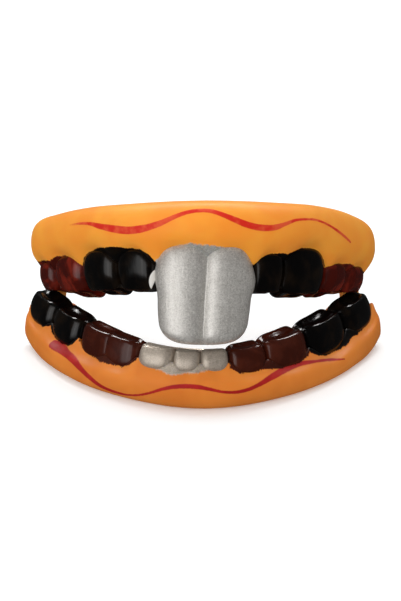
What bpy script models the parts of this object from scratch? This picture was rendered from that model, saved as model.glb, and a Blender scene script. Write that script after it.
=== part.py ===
"""Costume bunny teeth: an upper and a lower channel of soft vinyl that slip over the wearer's
own teeth, a row of painted crowns along each, one fused pair of long front teeth, and a web
behind each last molar where the two channels hinge.

Metres, +Z up. The front faces -Y and the viewer's right is +X. The lower channel stands on
its rim at z = 0. The upper channel is the same kind of form turned over, and it gapes about
the line where the two rows of molars meet.

Places on a channel have three coordinates: along, the distance from the front middle along
the curve of the biting edges; out, the distance outwards from that curve, towards the lip;
and up, the distance from the plane of the channel's rim towards the biting edges."""

import math

import bmesh
import bpy
import numpy as np
from mathutils import Matrix, Vector

# Driving sizes of the lower channel
LOWER_HALF_WIDTH = 0.0319      # middle to the outer edge of the last molar
LOWER_DEPTH = 0.0294           # front teeth to the back of the last molar
LOWER_HEIGHT = 0.0109          # rim to the biting edge of the front teeth
LOWER_GUM_HEIGHT = 0.0069      # rim to the neck of the front teeth
LOWER_BULGE = 0.0024           # gum standing proud of the teeth

# Driving sizes of the upper channel
UPPER_HALF_WIDTH = 0.0302
UPPER_DEPTH = 0.0293
UPPER_HEIGHT = 0.0164
UPPER_GUM_HEIGHT = 0.0089
UPPER_BULGE = 0.0023
GAPE_ANGLE = 21.6              # degrees between the two rows of biting edges

# Walls and fits
GUM_WALL = 0.0012
CROWN_WALL = 0.0013
CLEARANCE = 0.0003             # between any two pieces
FRONT_THICKNESS = 0.0074       # lip side to tongue side at the neck of a front tooth
REAR_THICKNESS = 0.0104        # the same at the last molar
GUM_TAIL = 0.0022              # gum running on behind the last molar
GUM_ROUNDING = 0.0011          # rounding of the gum's rear ends
RIM_TUCK = 0.25                # how far the rim curls in, as a share of the bulge
RIDGE_LIP_LEAN = 0.1           # lean of the ridge's lip side, as a share of its tongue side's
CROWN_BELLY = 0.0006           # outward swell of a crown
CROWN_GROOVE = 0.0005          # how far a crown draws in where it meets the next
CROWN_DIP = 0.0007             # how far its biting edge drops there

# Long front pair
BUCK_DROP = 0.0096             # how far it hangs below the other upper teeth
BUCK_THICKNESS = 0.0034
BUCK_BELLY = 0.0016
BUCK_GROOVE = 0.0009
BUCK_CORNER = 0.0042
BUCK_SHOULDER = 0.0026         # how far its two top corners round away below the neck line
BUCK_TAPER = 0.0006            # how much narrower each side is at the tip

# Rear webs
WEB_THICKNESS = 0.0018
WEB_WIDTH = 0.0056
WEB_INSET = 0.0034             # from the curve of the biting edges in to the web's outer edge
WEB_LOWER_RISES = (0.30, 0.80)  # from rim to neck of the lower gum, then of the upper one
WEB_UPPER_RISES = (0.98, 0.72)

CURVE_SAMPLES = 1201
GUM_STATIONS = 37
ROUNDING_STEPS = np.array([0.0, 0.12, 0.42])   # shares of the rounding where sections lie
CROWN_STATIONS = 8
BUCK_STATIONS = 21

# Lower gum from the viewer's left to right. Along is a share of half the row of teeth, rim
# and neck of the gum height, bulge of the bulge, thick of the way from the front thickness
# to the rear one, rise of the crown height that the ridge fills, hollow of that ridge.
GUM_COLUMNS = ("along", "rim", "neck", "bulge", "thick", "rise", "hollow")
LOWER_GUM = (
    (-1.05, 0.00, 1.34, 0.20, 1.00, 0.40, 1.00),
    (-0.98, 0.00, 1.02, 0.75, 1.00, 0.50, 1.00),
    (-0.86, 0.00, 0.82, 1.00, 0.97, 0.58, 1.00),
    (-0.55, 0.00, 0.84, 1.00, 0.70, 0.50, 0.80),
    (-0.30, 0.00, 0.90, 1.00, 0.25, 0.35, 0.20),
    (0.00, 0.00, 1.00, 1.00, 0.00, 0.25, 0.00),
    (0.30, 0.00, 0.90, 1.00, 0.25, 0.35, 0.20),
    (0.55, 0.00, 0.84, 1.00, 0.70, 0.50, 0.80),
    (0.86, 0.00, 0.80, 1.00, 0.97, 0.58, 1.00),
    (0.98, 0.00, 1.02, 0.75, 1.00, 0.50, 1.00),
    (1.05, 0.00, 1.34, 0.20, 1.00, 0.40, 1.00),
)
UPPER_GUM = (
    (-1.05, 0.46, 1.42, 0.55, 1.00, 0.40, 1.00),
    (-0.98, 0.34, 1.38, 0.95, 1.00, 0.44, 1.00),
    (-0.84, 0.25, 1.26, 1.00, 0.95, 0.50, 1.00),
    (-0.60, 0.13, 1.06, 1.00, 0.75, 0.46, 0.80),
    (-0.34, 0.04, 0.98, 1.00, 0.30, 0.32, 0.20),
    (0.00, 0.00, 1.00, 1.00, 0.00, 0.25, 0.00),
    (0.34, 0.04, 1.02, 1.00, 0.30, 0.32, 0.20),
    (0.60, 0.11, 1.06, 1.00, 0.75, 0.46, 0.80),
    (0.84, 0.28, 1.30, 1.00, 0.95, 0.50, 1.00),
    (0.98, 0.46, 1.42, 0.95, 1.00, 0.44, 1.00),
    (1.05, 0.60, 1.46, 0.55, 1.00, 0.40, 1.00),
)

# Crowns from the viewer's left to right. Width is a share of the row's length, top of the
# channel's height, edge the width of the biting surface as a share of the thickness there,
# fossa the depth of its hollow as a share of the crown's height.
CROWN_COLUMNS = ("name", "width", "top", "edge", "fossa", "finish")
LOWER_CROWNS = (
    ("lower_01_molar", 0.091, 0.96, 0.66, 0.12, "black"),
    ("lower_02_molar", 0.108, 1.00, 0.66, 0.14, "black"),
    ("lower_03_premolar", 0.092, 0.99, 0.58, 0.12, "brown"),
    ("lower_04_canine", 0.074, 1.00, 0.40, 0.04, "brown"),
    ("lower_05_incisor", 0.076, 0.99, 0.28, 0.00, "silver"),
    ("lower_06_incisor", 0.054, 1.00, 0.28, 0.00, "silver"),
    ("lower_07_incisor", 0.054, 1.00, 0.28, 0.00, "silver"),
    ("lower_08_canine", 0.083, 1.01, 0.44, 0.06, "brown"),
    ("lower_09_premolar", 0.112, 1.02, 0.58, 0.14, "brown"),
    ("lower_10_molar", 0.126, 1.02, 0.66, 0.16, "black"),
    ("lower_11_molar", 0.122, 0.96, 0.66, 0.12, "black"),
)
BUCK_NAME = "buck_teeth"
UPPER_CROWNS = (
    ("upper_01_molar", 0.065, 1.00, 0.66, 0.10, "brown"),
    ("upper_02_molar", 0.121, 1.08, 0.66, 0.12, "brown"),
    ("upper_03_premolar", 0.118, 1.06, 0.66, 0.12, "black"),
    ("upper_04_canine", 0.092, 1.01, 0.44, 0.06, "black"),
    (BUCK_NAME, 0.218, 1.00, 0.44, 0.00, "silver"),
    ("upper_05_canine", 0.071, 1.03, 0.44, 0.06, "black"),
    ("upper_06_molar", 0.146, 1.07, 0.66, 0.12, "black"),
    ("upper_07_molar", 0.087, 1.08, 0.66, 0.12, "brown"),
    ("upper_08_molar", 0.083, 1.01, 0.66, 0.10, "brown"),
)

# Gum from rim to neck: out is a share of the bulge, up of the flank, first up the lip side and
# then down the tongue side, where out is counted beyond the thickness
GUM_LIP_SIDE = (
    (0.50, 0.12),
    (0.92, 0.30),
    (1.00, 0.52),
    (0.74, 0.80),
)
GUM_TONGUE_SIDE = (
    (0.35, 0.45),
    (0.20, 0.00),
)
INNER_LEVEL = 0.45             # share of the flank at which the channel is widest
COLLAR = 0.25                  # gum proud of a crown's neck, as a share of the gum's wall
LEAST_RIDGE = 0.3              # least half width of the hollow ridge, as a share of the wall

# Lip side of a crown from the neck up: rise is a share of its height, swell of its belly
LIP_SIDE = (
    (0.00, 0.3),
    (0.35, 1.0),
    (0.70, 0.7),
    (0.90, 0.0),
)
# Biting surface: across is a share of its width, sunk of the fossa
BITE = (
    (0.18, 0.0),
    (0.50, 1.0),
    (0.82, 0.15),
)
TONGUE_RISES = (0.86, 0.42, 0.00)
CROWN_END_POWER = 4            # how late a crown starts to draw in towards its ends
DRAW_RATE = 4.0                # the same up from the neck: fully drawn in at 1 / rate

# Lip face of the long pair from neck to tip: rise is a share of its length, swell of its belly
BUCK_FACE = (
    (0.00, 0.30),
    (0.22, 0.85),
    (0.50, 1.00),
    (0.78, 0.80),
    (0.93, 0.35),
    (1.00, -0.45),
)
# Its back from tip to neck, and how late it thins and rounds off towards its two sides
BUCK_BACK_TIP = (0.97, 0.80)   # rise, and share of the thickness
BUCK_BACK_MIDDLE = 0.78
BUCK_BACK_STEP = 0.6           # rise below which the back steps in to the channel
BUCK_STEP_DEPTH = 0.2          # share of a crown's wall
BUCK_STEP_TAPER = 0.5
BUCK_ROUND_START = 0.62
BUCK_ROUND_POWER = 2.4
BUCK_GROOVE_WIDTH = 0.13
BUCK_SIDE_POWER = 6
BUCK_SIDE_DRAW = 0.8           # share of the belly
BUCK_SHOULDER_POWER = 5
BUCK_SHOULDER_FADE = 4
BUCK_NOTCH = 0.4               # dip of the neck line at the groove, as a share of the shoulder

FINISHES = {
    "gum": ((0.93, 0.42, 0.06, 1.0), 0.38, 0.0),
    "black": ((0.008, 0.007, 0.008, 1.0), 0.12, 0.0),
    "brown": ((0.06, 0.012, 0.008, 1.0), 0.14, 0.0),
    "silver": ((0.55, 0.53, 0.50, 1.0), 0.35, 0.85),
}


def clear_scene():
    for old in list(bpy.data.objects):
        bpy.data.objects.remove(old, do_unlink=True)


def finish_material(finish):
    """One Principled material a finish, made on first use and shared after that."""
    known = bpy.data.materials.get(finish)
    if known:
        return known
    colour, roughness, metallic = FINISHES[finish]
    material = bpy.data.materials.new(finish)
    material.use_nodes = True
    shader = material.node_tree.nodes["Principled BSDF"]
    shader.inputs["Base Color"].default_value = colour
    shader.inputs["Roughness"].default_value = roughness
    shader.inputs["Metallic"].default_value = metallic
    return material


def make_object(name, points, faces, finish):
    """One closed object from points and faces, with its normals turned outwards."""
    mesh = bpy.data.meshes.new(name)
    mesh.from_pydata([tuple(point) for point in points], [], faces)
    shape = bmesh.new()
    shape.from_mesh(mesh)
    bmesh.ops.recalc_face_normals(shape, faces=shape.faces)
    shape.to_mesh(mesh)
    shape.free()
    mesh.shade_smooth()
    mesh.set_sharp_from_angle(angle=math.radians(40))
    piece = bpy.data.objects.new(name, mesh)
    bpy.context.collection.objects.link(piece)
    mesh.materials.append(finish_material(finish))
    return piece


def loft(name, sections, finish):
    """Skin closed sections of the same number of points, with a flat cap at each end."""
    rings = len(sections)
    around = len(sections[0])
    faces = []
    for ring in range(rings - 1):
        for corner in range(around):
            following = (corner + 1) % around
            faces.append((
                ring * around + corner,
                ring * around + following,
                (ring + 1) * around + following,
                (ring + 1) * around + corner,
            ))
    faces.append(tuple(range(around)))
    faces.append(tuple(range((rings - 1) * around, rings * around)))
    return make_object(name, [point for section in sections for point in section], faces, finish)


def smooth_column(rows, columns, column, at):
    """Read one column at a share of the way along, on a smooth curve through the rows."""
    knots = np.array([row[0] for row in rows])
    values = np.array([row[columns.index(column)] for row in rows])
    slopes = np.gradient(values, knots)
    span = int(np.clip(np.searchsorted(knots, at) - 1, 0, len(knots) - 2))
    width = knots[span + 1] - knots[span]
    part = float(np.clip((at - knots[span]) / width, 0.0, 1.0))
    rest = 1.0 - part
    return float(
        values[span] * rest * rest * (1.0 + 2.0 * part)
        + values[span + 1] * part * part * (3.0 - 2.0 * part)
        + slopes[span] * width * part * rest * rest
        - slopes[span + 1] * width * part * part * rest
    )


class Channel:
    """The curve, tables and place of one channel, with the sizes that its pieces share."""

    def __init__(self, half_width, depth, height, gum_height, bulge, gum_rows, crown_rows, turned):
        self.half_width = half_width
        self.depth = depth
        self.height = height
        self.gum_height = gum_height
        self.full_bulge = bulge
        self.gum_rows = gum_rows
        self.crown_rows = crown_rows
        self.turned = turned
        self.x = np.linspace(-1.4 * half_width, 1.4 * half_width, CURVE_SAMPLES)
        curve = depth * (self.x / half_width) ** 2
        steps = np.hypot(np.diff(self.x), np.diff(curve))
        self.along = np.concatenate([[0.0], np.cumsum(steps)])
        self.along -= np.interp(0.0, self.x, self.along)
        self.half_row = float(np.interp(half_width, self.x, self.along))
        self.end = self.half_row + GUM_TAIL

    def world(self, along, out, up):
        """World place of a point given along, out and up."""
        x = float(np.interp(along, self.along, self.x))
        slope = 2.0 * self.depth * x / self.half_width ** 2
        length = math.hypot(1.0, slope)
        flat_x = x + out * slope / length
        flat_y = self.depth * (x / self.half_width) ** 2 - out / length
        if not self.turned:
            return Vector((flat_x, flat_y, up))
        above_bite = self.height - up
        return GAPE @ Vector((flat_x, flat_y - self.depth, above_bite))

    def read(self, column, along):
        return smooth_column(self.gum_rows, GUM_COLUMNS, column, along / self.half_row)

    def rim(self, along):
        return self.read("rim", along) * self.gum_height

    def neck(self, along):
        return self.read("neck", along) * self.gum_height

    def bulge(self, along):
        return self.read("bulge", along) * self.full_bulge

    def thickness(self, along):
        share = self.read("thick", along)
        return FRONT_THICKNESS + share * (REAR_THICKNESS - FRONT_THICKNESS)

    def between_crowns(self, column, along):
        """A column of the table of crowns, blended from one crown's middle to the next."""
        middles = [(start + stop) / 2.0 for start, stop in self.crown_spans()]
        values = [row[CROWN_COLUMNS.index(column)] for row in self.crown_rows]
        return float(np.interp(along, middles, values))

    def top(self, along):
        return self.between_crowns("top", along) * self.height

    def crown_spans(self):
        """Where each crown starts and stops along the row, before its clearance."""
        widths = np.array([row[CROWN_COLUMNS.index("width")] for row in self.crown_rows])
        edges = np.concatenate([[0.0], np.cumsum(widths)]) / widths.sum()
        marks = (2.0 * edges - 1.0) * self.half_row
        return list(zip(marks[:-1], marks[1:]))

    def ridge(self, along):
        """Corners of the ridge that the crowns cap: lip and tongue side at the neck, the same
        at its top, and that top's height. It leans with the tongue side of the crowns."""
        neck = self.neck(along)
        crown = self.top(along) - neck
        rise = self.read("rise", along)
        thick = self.thickness(along)
        lip = LIP_SIDE[0][1] * CROWN_BELLY - CROWN_WALL - CLEARANCE
        tongue = -thick + CROWN_WALL + CLEARANCE
        lean = rise * thick * (1.0 - self.between_crowns("edge", along))
        return lip, tongue, lip - lean * RIDGE_LIP_LEAN, tongue + lean, neck + rise * crown


HINGE_PLACE = Vector((0.0, LOWER_DEPTH, LOWER_HEIGHT + CLEARANCE))
GAPE = Matrix.Translation(HINGE_PLACE) @ Matrix.Rotation(-math.radians(GAPE_ANGLE), 4, "X")


def gum_sections(channel, along):
    """Outer and inner profile of the gum at one place, each from the lip side over the ridge
    to the tongue side, as pairs of out and up."""
    rim = channel.rim(along)
    neck = channel.neck(along)
    thick = channel.thickness(along)
    lip, tongue, lip_top, tongue_top, ridge = channel.ridge(along)
    past = max(0.0, abs(along) - channel.end + GUM_ROUNDING) / GUM_ROUNDING
    eased = GUM_ROUNDING * (1.0 - math.sqrt(max(0.0, 1.0 - past * past)))
    neck -= eased
    ridge -= eased
    thick -= eased
    bulge = channel.bulge(along) - eased
    flank = neck - rim
    shoulder = LIP_SIDE[0][1] * CROWN_BELLY + GUM_WALL * COLLAR - eased
    outer = [(-bulge * RIM_TUCK, rim)]
    outer += [(bulge * out, rim + flank * rise) for out, rise in GUM_LIP_SIDE]
    outer += [
        (shoulder, neck),
        (lip, neck),
        (lip_top, ridge),
        (tongue_top, ridge),
        (tongue, neck),
        (-thick, neck),
    ]
    outer += [(-thick - bulge * out, rim + flank * rise) for out, rise in GUM_TONGUE_SIDE]
    tongue_foot = -thick - bulge * GUM_TONGUE_SIDE[-1][0]
    roof = neck - GUM_WALL + channel.read("hollow", along) * (ridge - neck)
    middle = (lip + tongue) / 2.0
    least = GUM_WALL * LEAST_RIDGE
    half = max((lip - tongue) / 2.0 - GUM_WALL, least)
    half_top = max((lip_top - tongue_top) / 2.0 - GUM_WALL, least)
    inner = [
        (-bulge * RIM_TUCK - GUM_WALL, rim),
        (bulge - GUM_WALL, rim + flank * INNER_LEVEL),
        (shoulder - GUM_WALL, neck - GUM_WALL),
        (middle + half, neck - GUM_WALL),
        (middle + half_top, roof),
        (middle - half_top, roof),
        (middle - half, neck - GUM_WALL),
        (-thick + GUM_WALL, neck - GUM_WALL),
        (tongue_foot + GUM_WALL, rim),
    ]
    return outer, inner


def make_gum(name, channel):
    """Gum channel: an outer and an inner skin that meet at the rim, with end walls."""
    straight = channel.end - GUM_ROUNDING
    rounded = channel.end - GUM_ROUNDING * ROUNDING_STEPS
    outer_at = np.concatenate([
        -rounded, np.linspace(-straight, straight, GUM_STATIONS - 2 * len(rounded)), rounded[::-1],
    ])
    inner_end = channel.end - GUM_WALL
    inner_at = np.linspace(-inner_end, inner_end, GUM_STATIONS)
    points = []
    for along in outer_at:
        points += [channel.world(along, *place) for place in gum_sections(channel, along)[0]]
    outer_count = len(points) // GUM_STATIONS
    for along in inner_at:
        points += [channel.world(along, *place) for place in gum_sections(channel, along)[1]]
    base = outer_count * GUM_STATIONS
    inner_count = (len(points) - base) // GUM_STATIONS

    def outside(station, corner):
        return station * outer_count + corner

    def inside(station, corner):
        return base + station * inner_count + corner

    faces = []
    last = GUM_STATIONS - 1
    for at in range(last):
        for corner in range(outer_count - 1):
            faces.append((outside(at, corner), outside(at, corner + 1),
                          outside(at + 1, corner + 1), outside(at + 1, corner)))
        for corner in range(inner_count - 1):
            faces.append((inside(at, corner), inside(at + 1, corner),
                          inside(at + 1, corner + 1), inside(at, corner + 1)))
        faces.append((outside(at, 0), outside(at + 1, 0), inside(at + 1, 0), inside(at, 0)))
        faces.append((outside(at, outer_count - 1), inside(at, inner_count - 1),
                      inside(at + 1, inner_count - 1), outside(at + 1, outer_count - 1)))
    for at in (0, last):
        faces.append(tuple(outside(at, corner) for corner in range(outer_count)))
        faces.append(tuple(inside(at, corner) for corner in range(inner_count)))
        faces.append((outside(at, 0), outside(at, outer_count - 1),
                      inside(at, inner_count - 1), inside(at, 0)))
    return make_object(name, points, faces, "gum")


def crown_section(channel, along, row, part):
    """Closed profile of a crown at one place. Part runs from -1 to 1 over the crown, whose
    lip side and biting edge draw in towards both ends."""
    tuck = abs(part) ** CROWN_END_POWER
    neck = channel.neck(along) + CLEARANCE
    top = channel.top(along) - tuck * CROWN_DIP
    crown = top - neck
    thick = channel.thickness(along)
    edge = row["edge"] * thick
    drawn = tuck * CROWN_GROOVE
    profile = []
    for rise, swell in LIP_SIDE:
        draw = drawn * min(1.0, DRAW_RATE * rise)
        profile.append((swell * CROWN_BELLY - draw, neck + rise * crown))
    for across, sunk in BITE:
        profile.append((-across * edge, top - sunk * row["fossa"] * crown))
    for rise in TONGUE_RISES:
        width = thick + (edge - thick) * rise
        profile.append((-width + drawn * min(1.0, DRAW_RATE * rise), neck + rise * crown))
    lip, tongue, lip_top, tongue_top, ridge = channel.ridge(along)
    profile += [
        (tongue - CLEARANCE, neck),
        (tongue_top - CLEARANCE, ridge + CLEARANCE),
        (lip_top + CLEARANCE, ridge + CLEARANCE),
        (lip + CLEARANCE, neck),
    ]
    return [channel.world(along, *place) for place in profile]


def make_crown(channel, row, start, stop):
    low = start + CLEARANCE / 2.0
    high = stop - CLEARANCE / 2.0
    sections = []
    for part in -np.cos(np.linspace(0.0, math.pi, CROWN_STATIONS)):
        along = (low + high) / 2.0 + part * (high - low) / 2.0
        sections.append(crown_section(channel, along, row, part))
    return loft(row["name"], sections, row["finish"])


def make_buck_teeth(channel, row, start, stop):
    """The fused pair: it caps the ridge as a crown does, and its blade hangs below."""
    middle = (start + stop) / 2.0
    half = (stop - start - CLEARANCE) / 2.0
    sections = []
    for place in np.linspace(-1.0, 1.0, BUCK_STATIONS):
        part = math.copysign(0.5 - 0.5 * math.cos(math.pi * place), place)
        base_along = middle + part * half
        neck = channel.neck(base_along) + CLEARANCE
        rounding = max(0.0, (abs(part) - BUCK_ROUND_START) / (1.0 - BUCK_ROUND_START))
        corner = BUCK_CORNER * rounding ** BUCK_ROUND_POWER
        tip = channel.height + BUCK_DROP - corner
        length = tip - neck
        groove = BUCK_GROOVE * math.exp(-(part / BUCK_GROOVE_WIDTH) ** 2)
        drawn = abs(part) ** BUCK_SIDE_POWER * BUCK_BELLY * BUCK_SIDE_DRAW
        shoulders = abs(part) ** BUCK_SHOULDER_POWER + BUCK_NOTCH * groove / BUCK_GROOVE
        notch = BUCK_SHOULDER * shoulders
        profile = []
        for rise, swell in BUCK_FACE:
            out = swell * BUCK_BELLY - (groove + drawn) * min(1.0, DRAW_RATE * rise)
            fading = (1.0 - rise) ** BUCK_SHOULDER_FADE
            profile.append((out, neck + rise * length + notch * fading, rise))
        back = -BUCK_THICKNESS + drawn
        tip_rise, tip_share = BUCK_BACK_TIP
        profile.append((back * tip_share, neck + tip_rise * length, tip_rise))
        profile.append((back, neck + BUCK_BACK_MIDDLE * length, BUCK_BACK_MIDDLE))
        step = min(channel.height, neck + BUCK_BACK_STEP * length)
        profile.append((back - BUCK_STEP_DEPTH * CROWN_WALL, step, BUCK_STEP_TAPER))
        profile.append((-channel.thickness(base_along), neck, 0.0))
        lip, tongue, lip_top, tongue_top, ridge = channel.ridge(base_along)
        profile += [
            (tongue - CLEARANCE, neck, 0.0),
            (tongue_top - CLEARANCE, ridge + CLEARANCE, 0.0),
            (lip_top + CLEARANCE, ridge + CLEARANCE, 0.0),
            (lip + CLEARANCE, neck, 0.0),
        ]
        section = []
        for out, up, rise in profile:
            along = middle + part * (half - BUCK_TAPER * rise)
            section.append(channel.world(along, out, up))
        sections.append(section)
    return loft(BUCK_NAME, sections, row["finish"])


def make_row(channel):
    spans = channel.crown_spans()
    for values, (start, stop) in zip(channel.crown_rows, spans):
        row = dict(zip(CROWN_COLUMNS, values))
        if row["name"] == BUCK_NAME:
            make_buck_teeth(channel, row, start, stop)
        else:
            make_crown(channel, row, start, stop)


def make_web(name, lower, upper, side):
    """Plain bent strap behind the last molars, from one gum's end wall to the other's."""
    stations = []
    for channel, rises in ((lower, WEB_LOWER_RISES), (upper, WEB_UPPER_RISES)):
        for share in rises:
            neck = channel.neck(side * channel.end)
            near = side * (channel.end + CLEARANCE)
            far = side * (channel.end + CLEARANCE + WEB_THICKNESS)
            stations.append([
                channel.world(near, -WEB_INSET, share * neck),
                channel.world(near, -WEB_INSET - WEB_WIDTH, share * neck),
                channel.world(far, -WEB_INSET - WEB_WIDTH, share * neck),
                channel.world(far, -WEB_INSET, share * neck),
            ])
    return loft(name, stations, "gum")


def centre_on_origin():
    """Shift every piece so that the middle of the whole is over the origin."""
    corners = [corner for piece in bpy.data.objects for corner in piece.bound_box]
    low = np.min(corners, axis=0)
    high = np.max(corners, axis=0)
    middle = (low + high) / 2.0
    shift = Matrix.Translation((-middle[0], -middle[1], -low[2]))
    for piece in bpy.data.objects:
        piece.data.transform(shift)


def lower_channel():
    return Channel(LOWER_HALF_WIDTH, LOWER_DEPTH, LOWER_HEIGHT, LOWER_GUM_HEIGHT,
                   LOWER_BULGE, LOWER_GUM, LOWER_CROWNS, turned=False)


def upper_channel():
    return Channel(UPPER_HALF_WIDTH, UPPER_DEPTH, UPPER_HEIGHT, UPPER_GUM_HEIGHT,
                   UPPER_BULGE, UPPER_GUM, UPPER_CROWNS, turned=True)


def build():
    clear_scene()
    lower = lower_channel()
    upper = upper_channel()
    make_gum("lower_gum", lower)
    make_gum("upper_gum", upper)
    make_row(lower)
    make_row(upper)
    make_web("left_hinge_web", lower, upper, -1)
    make_web("right_hinge_web", lower, upper, 1)
    centre_on_origin()


build()
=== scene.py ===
# %% [markdown]
# Costume bunny teeth, dressed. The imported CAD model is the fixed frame: every piece below is
# worked out in the same metres, so it goes where the frame says and nothing has to be fitted.
# The set is soft vinyl with paint brushed on by hand, so its looks come from smooth swelling
# forms, ragged paint edges and gloss. All of it is made here with numpy and shader nodes.

# %% Load the frame
import math

import bpy
import numpy as np
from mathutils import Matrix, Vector


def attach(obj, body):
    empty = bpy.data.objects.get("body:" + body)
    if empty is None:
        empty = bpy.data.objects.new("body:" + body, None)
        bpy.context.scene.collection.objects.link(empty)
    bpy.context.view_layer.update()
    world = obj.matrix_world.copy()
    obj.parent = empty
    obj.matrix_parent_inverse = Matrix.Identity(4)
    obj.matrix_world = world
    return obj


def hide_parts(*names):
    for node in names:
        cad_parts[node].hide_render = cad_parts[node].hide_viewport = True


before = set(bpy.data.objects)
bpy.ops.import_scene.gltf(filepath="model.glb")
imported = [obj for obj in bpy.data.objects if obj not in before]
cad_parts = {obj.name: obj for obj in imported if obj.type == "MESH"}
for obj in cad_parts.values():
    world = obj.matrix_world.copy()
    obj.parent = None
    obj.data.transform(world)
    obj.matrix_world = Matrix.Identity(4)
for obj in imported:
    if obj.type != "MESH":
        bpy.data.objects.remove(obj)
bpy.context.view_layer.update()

MM = 0.001
print("frame pieces:", len(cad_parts))

# %% [markdown]
# The camera. The photograph was taken level with the middle of the set, about 22 degrees above
# the floor and 450 mm away. A long lens keeps the arch from looking stretched.

# %% Camera
PHOTO_HEIGHT = 601
CAMERA_HEIGHT = math.radians(22.0)
CAMERA_AWAY = 0.45
FOCAL_PIXELS = 2475.0
SENSOR = 36.0
looks_at = Vector((-0.00045, -0.0067, 0.016))

towards_camera = Vector((0.0, -math.cos(CAMERA_HEIGHT), math.sin(CAMERA_HEIGHT)))
camera_data = bpy.data.cameras.new("camera")
camera_data.sensor_fit = "VERTICAL"
camera_data.sensor_height = SENSOR
camera_data.lens = FOCAL_PIXELS * SENSOR / PHOTO_HEIGHT
camera = bpy.data.objects.new("camera", camera_data)
camera.location = looks_at + towards_camera * CAMERA_AWAY
camera.rotation_euler = towards_camera.to_track_quat("Z", "Y").to_euler()
bpy.context.scene.collection.objects.link(camera)
bpy.context.scene.camera = camera
print("lens", round(camera_data.lens, 1), "mm at", [round(v, 3) for v in camera.location])

# %% [markdown]
# Both channels are bent round the same kind of curve, a parabola through the biting edges. A
# place on a channel has three coordinates in millimetres: along the curve from the front
# middle, out from it towards the lip, and up from the channel's rim towards the biting edges.
# The lower channel stands on its rim. The upper one is turned over and gapes about the hinge.
# Working in these coordinates keeps every table below short and easy to read.

# %% The two arches
CENTRING = -18.703             # mm, the shift that puts the set's middle over the origin
CLEARANCE = 0.3
GAPE = math.radians(-21.6)


class Arch:
    """One channel's curve. Its depth at x is depth times (x / half width) squared."""

    def __init__(self, half_width, depth, height, turned):
        self.half_width, self.depth = half_width, depth
        self.height, self.turned = height, turned
        self.x = np.linspace(-1.4, 1.4, 4001) * half_width
        steps = np.hypot(np.diff(self.x), np.diff(depth * (self.x / half_width) ** 2))
        self.length = np.concatenate([[0.0], np.cumsum(steps)])
        self.length -= np.interp(0.0, self.x, self.length)
        self.half_row = float(np.interp(half_width, self.x, self.length))
        self.end = self.half_row + 2.2

    def place(self, along, out, up):
        """Frame coordinates, in metres, of places on the channel. Out is measured along the
        curve's normal; the upper channel is turned over, then rotated about the hinge line."""
        along, out, up = np.broadcast_arrays(along, out, up)
        x = np.interp(along, self.length, self.x)
        slope = 2.0 * self.depth * x / self.half_width ** 2
        stretch = np.hypot(1.0, slope)
        flat_x = x + out * slope / stretch
        flat_y = self.depth * (x / self.half_width) ** 2 - out / stretch
        if not self.turned:
            return np.stack([flat_x, flat_y + CENTRING, up], -1) * MM
        back, above = flat_y - self.depth, self.height - up
        y = back * math.cos(GAPE) - above * math.sin(GAPE) + lower_arch.depth
        z = back * math.sin(GAPE) + above * math.cos(GAPE) + lower_arch.height + CLEARANCE
        return np.stack([flat_x, y + CENTRING, z], -1) * MM


lower_arch = Arch(31.9, 29.4, 10.9, turned=False)
upper_arch = Arch(30.2, 29.3, 16.4, turned=True)
print("half rows", round(lower_arch.half_row, 1), round(upper_arch.half_row, 1), "mm")

# %% [markdown]
# Every form here is a closed profile carried along an arch. A profile drawn with a few
# control points and a periodic B-spline is smooth everywhere, like a soft moulding, and a
# matrix of B-spline weights turns all profiles into surface points in one product.

# %% Smooth loops and tables
def loop_weights(controls, samples):
    """Weights of a closed uniform cubic B-spline: four neighbouring control points share each
    sample, by the cubic blending polynomials of its place between two knots."""
    place = np.arange(samples) * controls / samples
    knot = np.floor(place).astype(int)
    part = place - knot
    blend = np.stack([(1 - part) ** 3, 3 * part ** 3 - 6 * part ** 2 + 4,
                      -3 * part ** 3 + 3 * part ** 2 + 3 * part + 1, part ** 3]) / 6.0
    weights = np.zeros((samples, controls))
    for offset in range(4):
        weights[np.arange(samples), (knot + offset - 1) % controls] += blend[offset]
    return weights


def read_rows(rows, at):
    """Columns of a table at many places: a cubic through the rows with slopes from their
    neighbours. The first column holds the places of the rows."""
    table = np.array(rows, float)
    knots, values = table[:, 0], table[:, 1:]
    slopes = np.gradient(values, knots, axis=0)
    span = np.clip(np.searchsorted(knots, at) - 1, 0, len(knots) - 2)
    width = (knots[span + 1] - knots[span])[:, None]
    part = np.clip((at - knots[span])[:, None] / width, 0.0, 1.0)
    rest = 1.0 - part
    return (values[span] * rest ** 2 * (1 + 2 * part) + values[span + 1] * part ** 2 * (3 - 2 * part)
            + slopes[span] * width * part * rest ** 2 - slopes[span + 1] * width * part ** 2 * rest).T


def ease(value):
    """Smooth step from 0 to 1."""
    value = np.clip(value, 0.0, 1.0)
    return value * value * (3.0 - 2.0 * value)


def blurred(values, step, width):
    """Values blurred by a bell curve of the given width in millimetres, ends held."""
    reach = int(3 * width / step) + 1
    bell = np.exp(-0.5 * (np.arange(-reach, reach + 1) * step / width) ** 2)
    return np.convolve(np.pad(values, reach, mode="edge"), bell / bell.sum(), mode="valid")


print("a sample's weights add up to", round(float(loop_weights(12, 5)[0].sum()), 6))

# %% [markdown]
# A tube of profiles becomes a mesh with a point closing each end. The signed volume tells
# whether its faces look outwards, and turns them if they don't.

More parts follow.
